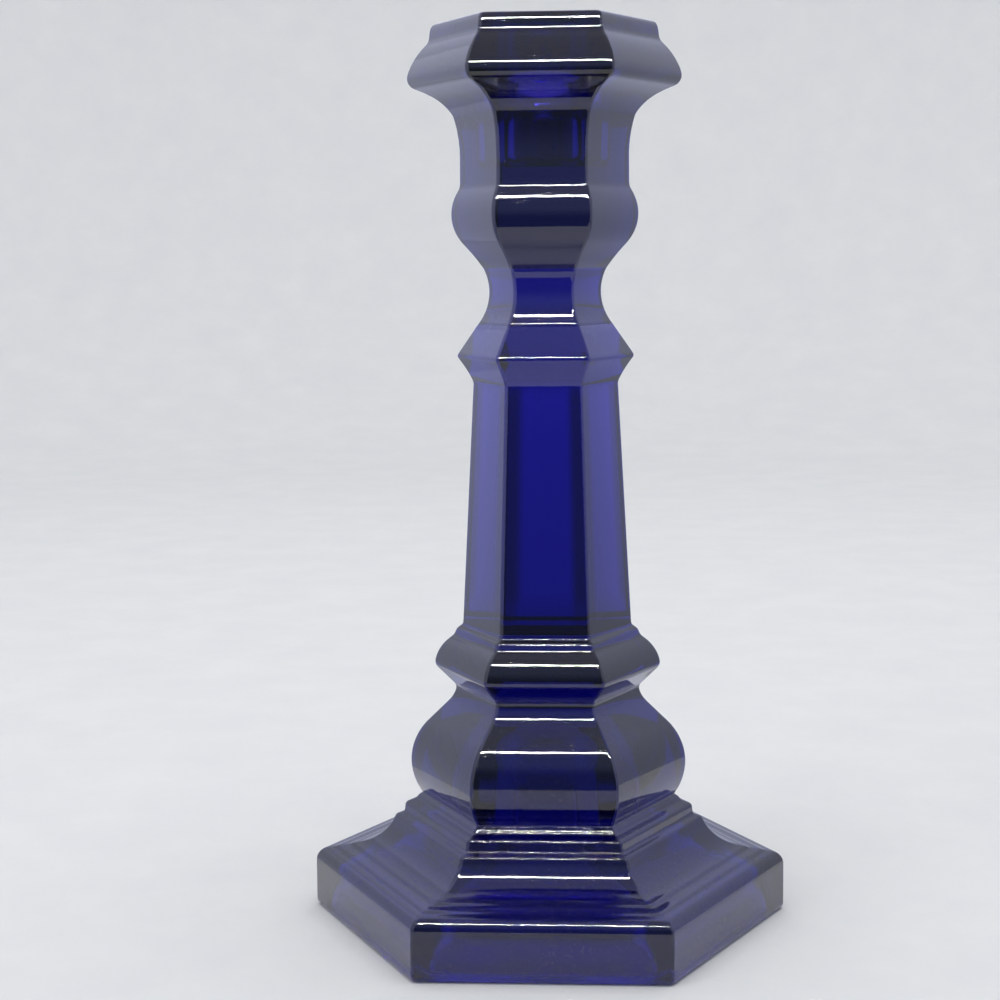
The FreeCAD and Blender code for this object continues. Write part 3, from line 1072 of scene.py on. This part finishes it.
@dataclass(frozen=True)
class CobaltGlass:
    """Cobalt-blue glass: clear, heavily tinted in depth, with a pressed and fire-polished skin.

    Args:
        tint: what each passage through the plain column's skin lets by.
        arris_painted_shade: painted shade along the arrises, darkening each flat towards its edges where light
            is lost to total reflection inside the glass.
        deep_tint: a darker, deeper blue tint laid above and below the plain column.
        dusty: the same, where dust lies.
        near_black: a near-black tint for a band on the wall of the bore.
        depth_colour: the hue light keeps inside.
        density: how fast the rest is soaked up, per metre.
        index: the refractive index.
        clean: roughness of clean skin, which blurs the view through it.
        dull: roughness where it is handled or rubbed.
        frosted: roughness of the hollow under the foot, or 0 where there is none.
        gloss: how strongly the fire-polished surface shines.
        haze: roughness of that shine.
        wave_height: height of the slow waves, in mm.
        ripple_height: height of the fine ripple, in mm.
        ripple_scale: how fine the ripple is.
        plain_from: height at which the plain column starts, in mm.
        plain_to: height at which it ends, in mm.
        plain_blend: how long the change takes there, in mm.
        bore_radius: the bore's radius in mm, or 0 where there is none.
        near_black_top: how high the near-black band reaches, in mm.
    """

    tint: Colour = (0.62, 0.54, 0.95, 1.0)
    # Painted shade: the darker tint laid along the arrises.
    arris_painted_shade: Colour = (0.16, 0.15, 0.3, 1.0)
    # A darker, deeper blue tint above and below the plain column.
    deep_tint: Colour = (0.2, 0.17, 0.63, 1.0)
    dusty: Colour = (0.5, 0.48, 0.72, 1.0)
    # Near-black tint for a band on the wall of the bore.
    near_black: Colour = (0.03, 0.03, 0.05, 1.0)
    depth_colour: Colour = (0.27, 0.1, 0.87, 1.0)
    density: float = 150.0
    index: float = 1.52
    clean: float = 0.085
    dull: float = 0.15
    frosted: float = 0.0
    gloss: float = 0.7
    haze: float = 0.04
    wave_height: float = 0.009
    ripple_height: float = 0.026
    ripple_scale: float = 190.0
    plain_from: float = 0.0
    plain_to: float = 0.0
    plain_blend: float = 3.0
    bore_radius: float = 0.0
    near_black_top: float = 0.0

    def material(self, name: str) -> bpy.types.Material:
        """Build the material.

        Args:
            name: its name.

        Returns:
            The material.
        """
        material = bpy.data.materials.new(name)
        material.use_nodes = True
        sheet = NodeSheet(material.node_tree)
        sheet.tree.nodes.clear()
        place = sheet.add("TexCoord").outputs["Object"]
        chill = sheet.effect(
            "mould_chill",
            place,
            column_foot=self.plain_from * MM,
            column_top=self.plain_to * MM,
            blend=self.plain_blend * MM,
        ).outputs
        handling = sheet.effect("handling", place, clean=self.clean, dull=self.dull).outputs
        look = {
            "Base Color": self.tinted(sheet, place, chill["Chill"], handling["Dust"]),
            "Metallic": 0.0,
            "Roughness": self.roughened(sheet, place, handling["Roughness"]),
            "IOR": self.index,
            "Normal": self.skin(sheet, place, chill["Ripple"]),
            "Transmission Weight": 1.0,
            "Coat Weight": self.gloss,
            "Coat Roughness": self.haze,
        }
        shader = sheet.add("BsdfPrincipled", "cobalt glass", look)
        depth = sheet.add(
            "VolumeAbsorption", "depth", {"Color": self.depth_colour, "Density": self.density}
        )
        sheet.add("OutputMaterial", inputs={"Surface": shader.outputs[0], "Volume": depth.outputs[0]})
        return material

    def skin(self, sheet: NodeSheet, place: Socket, ripple: Socket) -> Socket:
        """Bend the surface with the waves and the ripple of the mould.

        Args:
            sheet: the material's node sheet.
            place: object coordinates.
            ripple: the share of the fine ripple.

        Returns:
            The normal.
        """
        waves = sheet.effect(
            "pressed_waves",
            place,
            wave_height=self.wave_height,
            ripple_height=sheet.math("MULTIPLY", ripple, self.ripple_height),
            ripple_scale=self.ripple_scale,
        )
        height = {"Strength": 1.0, "Distance": MM, "Height": waves.outputs["Height"]}
        return sheet.add("Bump", "skin", height).outputs["Normal"]

    def tinted(self, sheet: NodeSheet, place: Socket, chill: Socket, dust: Socket) -> Socket:
        """Lay the tints over one another, with painted shade darkening the flats towards the arrises.

        Args:
            sheet: the material's node sheet.
            place: object coordinates.
            chill: the mask above and below the plain column, where the deep tint lies.
            dust: the mask of the dust.

        Returns:
            The tint.
        """
        # Painted shade: each flat darkens towards the arrises, standing in for light lost to total reflection
        # inside the glass.
        shade = sheet.effect("arris_shade", place).outputs["Shade"]
        tint = sheet.blend(shade, self.tint, self.arris_painted_shade, "dark margins")
        # Above and below the plain column the tint turns darker and deeper blue.
        tint = sheet.blend(chill, tint, self.deep_tint, "chilled skin")
        tint = sheet.blend(dust, tint, self.dusty, "dust")
        if self.bore_radius <= 0:
            return tint
        # A near-black band on the wall of the bore, from a ragged top edge down to just above its floor.
        bore = sheet.effect(
            "bore_near_black", place, radius=self.bore_radius * MM, top=self.near_black_top * MM
        )
        return sheet.blend(bore.outputs["Residue"], tint, self.near_black, "near_black")

    def roughened(self, sheet: NodeSheet, place: Socket, rough: Socket) -> Socket:
        """Roughen the hollow that the plunger left.

        Args:
            sheet: the material's node sheet.
            place: object coordinates.
            rough: the roughness so far.

        Returns:
            The roughness, with the hollow's own over it.
        """
        if self.frosted <= 0:
            return rough
        frost = sheet.effect("plunger_skin", place).outputs["Frost"]
        return sheet.math("MAXIMUM", rough, sheet.math("MULTIPLY", frost, self.frosted))


@dataclass(frozen=True)
class SoftLight:
    """A large soft light that lights the cloth but isn't seen in the glass.

    Args:
        name: what it is.
        place: where it hangs, in metres.
        target: what it is aimed at, in metres.
        size: how wide it is, in metres.
        power: its power, in watts.
    """

    name: str
    place: Triple
    target: Triple
    size: float
    power: float

    def hang(self) -> None:
        """Hang the light."""
        bpy.ops.object.light_add(type="AREA", location=self.place)
        lamp = bpy.context.object
        lamp.name = self.name
        lamp.data.shape = "DISK"
        lamp.data.size = self.size
        lamp.data.energy = self.power
        aim = mathutils.Vector(self.target) - mathutils.Vector(self.place)
        lamp.rotation_euler = aim.to_track_quat("-Z", "Y").to_euler()
        lamp.visible_camera = False
        lamp.visible_glossy = False
        lamp.visible_transmission = False


@dataclass
class LightTent:
    """A small white light tent: pale floor and sweep, glowing walls, an open dark front and a row of lamps.

    Sizes in mm.
    """

    sweep_radius: float = 1500.0
    sweep_round: float = 500.0
    sweep_height: float = 2600.0
    back: float = 105.0
    left: float = 116.0
    right: float = 290.0
    front: float = 300.0
    ceiling: float = 400.0
    lamp_y: float = -210.0
    lamp_z: float = 340.0
    lamp_gap: float = 9.4
    lamp_count: int = 39
    lamp_side: float = 4.4
    wall_glow: float = 0.74
    left_glow: float = 0.95
    right_glow: float = 0.84
    ceiling_glow: float = 0.8
    low_share: float = 0.6
    room_glow: float = 0.13
    room_high_glow: float = 0.34
    lamp_glow: float = 330.0
    # Glow of the strip above the lamps, a second, continuous light.
    light_strip_glow: float = 60.0
    cloth_light: Triple = (0.95, 1.0, 1.3)
    room_light: Triple = (0.75, 0.9, 1.5)
    lamp_light: Triple = (1.0, 0.99, 0.97)
    cloth_dark: Colour = (0.75, 0.76, 0.775, 1.0)
    cloth_pale: Colour = (0.79, 0.795, 0.805, 1.0)
    lights: tuple[SoftLight, ...] = (
        SoftLight("key", (0.1, 0.1, 1.6), (0.0, 0.3, 0.1), 1.6, 14.0),
        SoftLight("fill", (-1.0, -0.9, 0.9), (0.0, 0.0, 0.15), 1.2, 5.0),
    )

    def glow(self, name: str, strength: float, colour: Triple = (1.0, 1.0, 1.0)) -> bpy.types.Material:
        """Make an even glow, as of lit cloth.

        Args:
            name: the material's name.
            strength: how bright it is.
            colour: its colour, which may pass 1.

        Returns:
            The material.
        """
        material = bpy.data.materials.new(name)
        material.use_nodes = True
        sheet = NodeSheet(material.node_tree)
        sheet.tree.nodes.clear()
        emit = sheet.add("Emission", inputs={"Color": (*colour, 1.0), "Strength": strength})
        sheet.add("OutputMaterial", inputs={"Surface": emit.outputs[0]})
        material.cycles.emission_sampling = "NONE"
        return material

    def rising_glow(
        self, name: str, colour: Triple, low: float, high: float, span: Point
    ) -> bpy.types.Material:
        """Make a glow that gets brighter with height.

        Args:
            name: the material's name.
            colour: its colour.
            low: how bright it is near the floor.
            high: how bright it is at the top.
            span: the shares of the height between which it rises.

        Returns:
            The material.
        """
        material = self.glow(name, high, colour)
        sheet = NodeSheet(material.node_tree)
        level = sheet.axes(sheet.add("TexCoord").outputs["Generated"])[2]
        rise = sheet.math("MULTIPLY", sheet.fade(level, *span), high - low)
        emit = [node for node in sheet.tree.nodes if node.type == "EMISSION"][0]
        sheet.put(emit.inputs["Strength"], sheet.math("ADD", rise, low))
        return material

    def floor_material(self) -> bpy.types.Material:
        """Make pale matt cloth with a faint unevenness.

        Returns:
            The material.
        """
        material = bpy.data.materials.new("pale_cloth")
        material.use_nodes = True
        sheet = NodeSheet(material.node_tree)
        mottle = sheet.noise(sheet.add("TexCoord").outputs["Object"], 30.0, 5.0, 0.6)
        ramp = sheet.add("ValToRGB", "mottle", {"Fac": mottle})
        for element, position, colour in zip(
            ramp.color_ramp.elements, (0.3, 0.7), (self.cloth_dark, self.cloth_pale)
        ):
            element.position = position
            element.color = colour
        shader = sheet.tree.nodes["Principled BSDF"]
        sheet.put(shader.inputs["Base Color"], ramp.outputs["Color"])
        sheet.put(shader.inputs["Roughness"], 0.9)
        sheet.put(shader.inputs["Specular IOR Level"], 0.1)
        return material

    def only_reflected(self, thing: bpy.types.Object, material: bpy.types.Material) -> None:
        """Dress a piece of the set, and let only mirrored and refracted rays meet it.

        Args:
            thing: the piece.
            material: what it is dressed in.
        """
        thing.data.materials.append(material)
        thing.visible_camera = False
        thing.visible_diffuse = False
        thing.visible_shadow = False
        thing.visible_volume_scatter = False

    def wall(self, name: str, centre: Triple, size: Triple, material: bpy.types.Material) -> None:
        """Put up one wall as a thin box.

        Args:
            name: what it is.
            centre: where its middle is, in mm.
            size: its width, depth and height, in mm.
            material: what it is dressed in.
        """
        bpy.ops.mesh.primitive_cube_add(size=1, location=[value * MM for value in centre])
        thing = bpy.context.object
        thing.name = name
        thing.scale = [value * MM for value in size]
        bpy.ops.object.transform_apply(location=False, rotation=False, scale=True)
        self.only_reflected(thing, material)

    def cloth_wall(self, name: str, centre: Triple, size: Triple, strength: float) -> None:
        """Put up a wall of lit cloth, dimmer towards the floor.

        Args:
            name: what it is.
            centre: where its middle is, in mm.
            size: its width, depth and height, in mm.
            strength: how brightly it glows at the top.
        """
        low = self.low_share * strength
        cloth = self.rising_glow(name + "_glow", self.cloth_light, low, strength, (0.0, 0.65))
        self.wall(name, centre, size, cloth)

    def build(self) -> None:
        """Lay the sweep, put up the walls and the open front, and hang the lamps."""
        self.sweep()
        middle = (self.right - self.left) / 2
        width = self.right + self.left
        deep = (self.back - self.front) / 2
        depth = self.back + self.front
        high = self.ceiling / 2
        across = (width, 1, self.ceiling)
        beside = (1, depth, self.ceiling)
        self.cloth_wall("back_wall", (middle, self.back, high), across, self.wall_glow)
        self.cloth_wall("left_wall", (-self.left, deep, high), beside, self.left_glow)
        self.cloth_wall("right_wall", (self.right, deep, high), beside, self.right_glow)
        self.cloth_wall("ceiling", (middle, deep, self.ceiling), (width, depth, 1), self.ceiling_glow)
        room = self.rising_glow(
            "dark_room_glow", self.room_light, self.room_glow, self.room_high_glow, (0.3, 0.62)
        )
        self.wall("dark_room", (middle, -self.front, high), across, room)
        self.lamps()
        for light in self.lights:
            light.hang()

    def sweep(self) -> None:
        """Lay the floor, with its edge swept up into a round wall far behind and around."""
        sweep = Pressing("pale_sweep")
        outline = Outline(
            start=(5.0, 0.0),
            stretches=[
                Stretch(self.sweep_radius - self.sweep_round, 0.0),
                Stretch(self.sweep_radius, self.sweep_round, Curve.BULGE, 88),
                Stretch(self.sweep_radius, self.sweep_height),
            ],
            polish=0.0,
            walk=10.0,
            degrees_per_ring=6.0,
            closest=20.0,
            widest=300.0,
        )
        sweep.raise_outline(outline, 96)
        sweep.open_top()
        sweep.piece.data.materials.append(self.floor_material())
        bpy.ops.object.shade_smooth()

    def lamps(self) -> None:
        """Hang the row of small square lamps over the opening, and just above and behind them a long glowing
        strip, a second, continuous light.
        """
        length = (self.lamp_count - 1) * self.lamp_gap
        bpy.ops.object.select_all(action="DESELECT")
        bpy.ops.mesh.primitive_cube_add(
            size=self.lamp_side * MM, location=(-length / 2 * MM, self.lamp_y * MM, self.lamp_z * MM)
        )
        row = bpy.context.object
        row.name = "lamp_row"
        bpy.ops.object.transform_apply(location=True, rotation=False, scale=False)
        array = row.modifiers.new("row", "ARRAY")
        array.count = self.lamp_count
        array.use_relative_offset = False
        array.use_constant_offset = True
        array.constant_offset_displace = (self.lamp_gap * MM, 0, 0)
        bpy.ops.object.modifier_apply(modifier=array.name)
        self.only_reflected(row, self.glow("lamp_glow", self.lamp_glow, self.lamp_light))
        place = (0.0, self.lamp_y + self.lamp_side, self.lamp_z + self.lamp_side)
        # The strip glows as a second, continuous light and shows as a line in the glass.
        light_strip = self.glow("light_strip_glow", self.light_strip_glow)
        self.wall("lamp_light_strip", place, (length, self.lamp_side, self.lamp_side), light_strip)


@dataclass
class Photographer:
    """Where the camera stands: a little right of straight on, above the middle, looking slightly down."""

    place: Triple = (0.01478, -0.4706, 0.1731)
    heading: float = 3.25
    down: float = 7.777
    tilt: float = 0.54
    lens: float = 66.42

    def stand(self) -> None:
        """Add the camera and make it the scene's."""
        bpy.ops.object.camera_add(location=self.place)
        camera = bpy.context.object
        camera.name = "camera"
        turn = mathutils.Matrix.Rotation(math.radians(self.heading), 3, "Z")
        pitch = mathutils.Matrix.Rotation(math.radians(90 - self.down), 3, "X")
        roll = mathutils.Matrix.Rotation(math.radians(-self.tilt), 3, "Z")
        camera.rotation_euler = (turn @ pitch @ roll).to_euler()
        camera.data.lens = self.lens
        camera.data.sensor_width = 36.0
        camera.data.clip_start = 0.01
        bpy.context.scene.camera = camera


def clear_defaults() -> None:
    """Take away what a new scene starts with."""
    for spare in list(bpy.context.scene.objects):
        if spare.name in ("Cube", "Light", "Camera"):
            bpy.data.objects.remove(spare)


def air() -> None:
    """Fill the room with a dim even light, and show its colours as they are."""
    world = bpy.data.worlds.new("dim room")
    world.use_nodes = True
    world.node_tree.nodes["Background"].inputs["Color"].default_value = (0.96, 0.97, 1.0, 1)
    world.node_tree.nodes["Background"].inputs["Strength"].default_value = 0.52
    bpy.context.scene.world = world
    bpy.context.scene.view_settings.view_transform = "Standard"


def main() -> None:
    """Build the pieces in order, dress them, and set up the tent and the camera."""
    logging.basicConfig(level=logging.INFO, format="%(message)s")
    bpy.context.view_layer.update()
    clear_defaults()
    standard, wafer, socket = StandardAndFoot(), JoiningWafer(), CandleSocket()
    finishes = {
        standard.node: CobaltGlass(
            depth_colour=(0.2, 0.1, 0.8, 1.0),
            density=170.0,
            ripple_height=0.042,
            plain_from=standard.column_foot[1] + 6,
            plain_to=standard.column_top[1] - 3,
            plain_blend=4.0,
            frosted=0.36,
        ),
        wafer.node: CobaltGlass(depth_colour=(0.1, 0.05, 0.72, 1.0), density=170.0),
        socket.node: CobaltGlass(
            depth_colour=(0.1, 0.05, 0.62, 1.0),
            density=185.0,
            bore_radius=socket.bore_radius,
            near_black_top=socket.near_black_top,
        ),
    }
    for part in (standard, wafer, socket):
        part.build()
        part.dress(finishes[part.node])
    LightTent().build()
    air()
    Photographer().stand()


if __name__ == "__main__":
    main()
